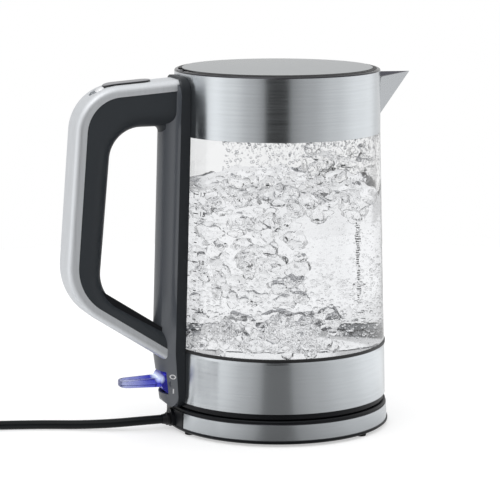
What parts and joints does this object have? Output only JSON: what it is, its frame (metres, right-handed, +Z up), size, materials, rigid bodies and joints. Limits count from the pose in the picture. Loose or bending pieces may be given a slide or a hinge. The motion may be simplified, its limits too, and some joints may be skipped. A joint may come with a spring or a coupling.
{
  "type": "electric kettle",
  "caption": "Cordless electric kettle: a tapered glass jug with steel bands, hinged lid, D-shaped handle and lit switch, on a round power base with its lead.",
  "frame": {"origin": "middle of the base's footprint, at the height of the table that the base's feet stand on", "axes": "+Z up along the jug's axis, +X out through the spout, -X through the handle"},
  "size_m": [0.3979, 0.1542, 0.2468],
  "materials": {
    "black_plastic": "moulded, fine satin",
    "grey_plastic": "moulded, soft satin",
    "steel": "brushed around the body",
    "strap_steel": "fine brushed along the strap",
    "plate_steel": "polished",
    "key_steel": "satin",
    "glass": "clear",
    "seal": "grey silicone",
    "rubber": "black",
    "cord": "black sheath, satin",
    "blue_clear": "clear blue, lit from inside",
    "lamp": "clear lamp",
    "plated_steel": "zinc plated",
    "brass": "plated contact",
    "aluminium": "pressed",
    "white_plastic": "moulded",
    "wire": "silicone sleeve"
  },
  "bodies": {
    "power_base": {"base_shell": "black_plastic", "base_band": "steel", "base_bottom": "black_plastic", "base_screws": "plated_steel", "base_feet": "rubber", "base_coupler": "black_plastic", "base_contacts": "brass", "cord_relief": "cord", "power_cord": "cord", "cord_coil": "cord", "plug_body": "cord", "plug_pins": "plated_steel", "base_leads": "wire"},
    "coupler": {"jug_coupler": "black_plastic", "coupler_rings": "brass"},
    "jug": {"glass_body": "glass", "foot_gasket": "seal", "plate_gasket": "seal", "heater_plate": "plate_steel", "element_plate": "aluminium", "heating_element": "aluminium", "element_pins": "plated_steel", "control_module": "white_plastic", "control_nuts": "plated_steel", "bimetal_discs": "brass", "lower_band": "steel", "jug_underside": "black_plastic", "underside_screws": "plated_steel", "top_collar": "steel", "head_gasket": "seal", "collar_liner": "black_plastic", "spout_filter": "white_plastic", "filter_mesh": "plated_steel", "spout": "steel", "hinge_bracket": "plated_steel", "hinge_pin": "plated_steel", "lid_spring": "plated_steel", "handle_frame": "black_plastic", "handle_column": "grey_plastic", "handle_strap": "strap_steel", "handle_core": "black_plastic", "handle_grip": "grey_plastic", "latch_spring": "plated_steel", "switch_pin": "plated_steel", "switch_leds": "lamp", "steam_switch": "white_plastic", "steam_disc": "brass", "steam_tube": "white_plastic", "switch_leads": "wire", "handle_screws": "plated_steel", "thumb_scoop": "strap_steel"},
    "lid": {"lid_cap": "steel", "lid_body": "black_plastic", "lid_hinge_arm": "black_plastic", "lid_liner": "plate_steel", "lid_seal": "seal"},
    "lid_button": {"lid_button": "key_steel"},
    "lid_latch": {"lid_latch": "white_plastic"},
    "power_switch": {"switch_lever": "blue_clear"}
  },
  "joints": [
    {"name": "jug_lift", "type": "slide", "parent": "power_base", "child": "coupler", "axis": [0, 0, 1], "range_m": [0, 0.06]},
    {"name": "jug_spin", "type": "hinge", "parent": "coupler", "child": "jug", "pos_m": [0, 0, 0], "axis": [0, 0, 1], "continuous": true},
    {"name": "lid_hinge", "type": "hinge", "parent": "jug", "child": "lid", "pos_m": [-0.0671, 0, 0.2432], "axis": [0, -1, 0], "range_deg": [0, 75]},
    {"name": "lid_button_press", "type": "slide", "parent": "jug", "child": "lid_button", "axis": [0.0716, 0, -0.9974], "range_m": [0, 0.0024], "stiffness_N_per_m": 700, "springref_m": -0.001},
    {"name": "lid_latch_slide", "type": "slide", "parent": "jug", "child": "lid_latch", "axis": [-1, 0, 0], "range_m": [0, 0.0024], "stiffness_N_per_m": 300, "deforming": ["latch_spring"]},
    {"name": "switch_tilt", "type": "hinge", "parent": "jug", "child": "power_switch", "pos_m": [-0.0794, 0, 0.0345], "axis": [0, 1, 0], "range_deg": [0, 16]}
  ],
  "couplings": [
    {"joint": "lid_latch_slide", "follows": "lid_button_press", "ratio": 1}
  ]
}
